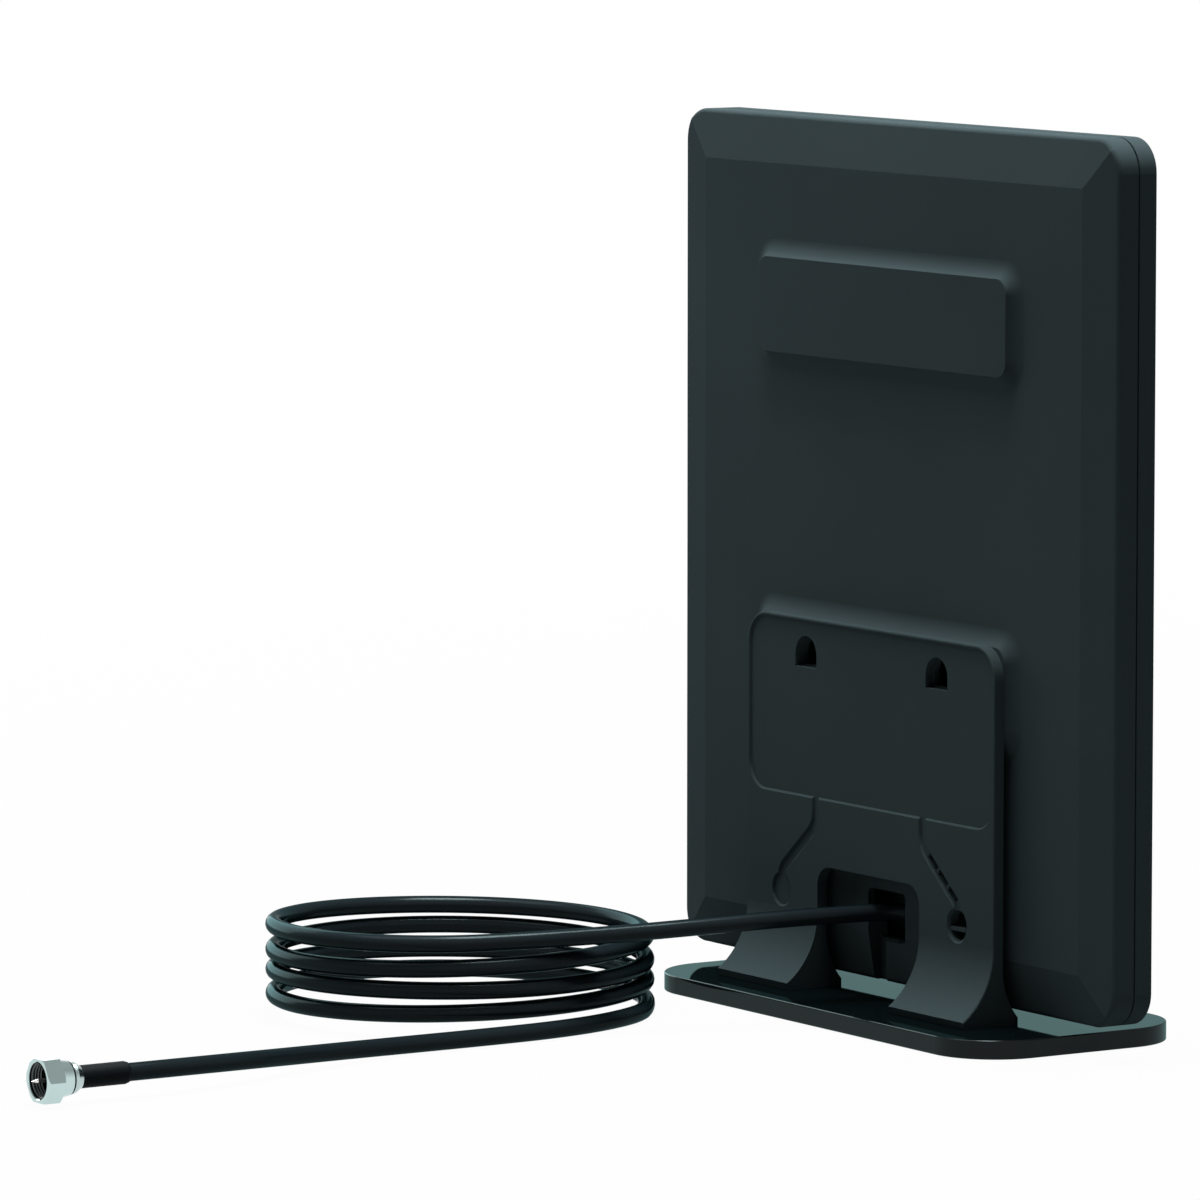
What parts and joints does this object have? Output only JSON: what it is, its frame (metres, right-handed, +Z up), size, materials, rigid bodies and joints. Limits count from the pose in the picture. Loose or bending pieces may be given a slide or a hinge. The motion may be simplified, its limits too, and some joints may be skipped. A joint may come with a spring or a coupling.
{
  "type": "indoor tv antenna",
  "caption": "Flat rectangular indoor TV antenna standing on a footed bracket and base plate, its coaxial lead coiled behind it and ending in a screw-on connector.",
  "frame": {"origin": "bottom centre of the base, where the rubber feet meet the table", "axes": "+Z up, the panel's plain front faces -Y, its back with the bracket and the cable outlet faces +Y"},
  "size_m": [0.2208, 0.3036, 0.2358],
  "materials": {
    "base_gloss": "polished black",
    "foot_rubber": "matte",
    "bracket_plastic": "fine matte",
    "shell_plastic": "fine matte",
    "board_laminate": "varnished",
    "tinned_steel": "tinned",
    "ferrite": "sintered",
    "copper_strip": "bare copper",
    "screw_steel": "zinc plated",
    "cable_jacket": "semi-gloss",
    "sleeve_rubber": "satin",
    "connector_nickel": "bright nickel"
  },
  "bodies": {
    "antenna": {"base_plate": "base_gloss", "rubber_feet": "foot_rubber", "stand_bracket": "bracket_plastic", "rear_cover": "shell_plastic", "front_cover": "shell_plastic", "antenna_board": "board_laminate", "balun_board": "board_laminate", "shield_can": "tinned_steel", "balun_core": "ferrite", "feed_straps": "copper_strip", "cable_clamp": "tinned_steel", "board_screws": "screw_steel", "clamp_screws": "screw_steel", "bracket_screws": "screw_steel", "base_screws": "screw_steel", "cable_inner": "cable_jacket", "cable_lead": "cable_jacket", "cable_coil": "cable_jacket", "cable_tail": "cable_jacket", "cable_sleeve": "sleeve_rubber", "connector_body": "connector_nickel", "center_pin": "copper_strip"},
    "nut": {"coupling_nut": "connector_nickel"}
  },
  "joints": [
    {"name": "nut_spin", "type": "hinge", "parent": "antenna", "child": "nut", "pos_m": [-0.0081, 0.26325, 0.0064], "axis": [0, 1, 0], "continuous": true}
  ]
}
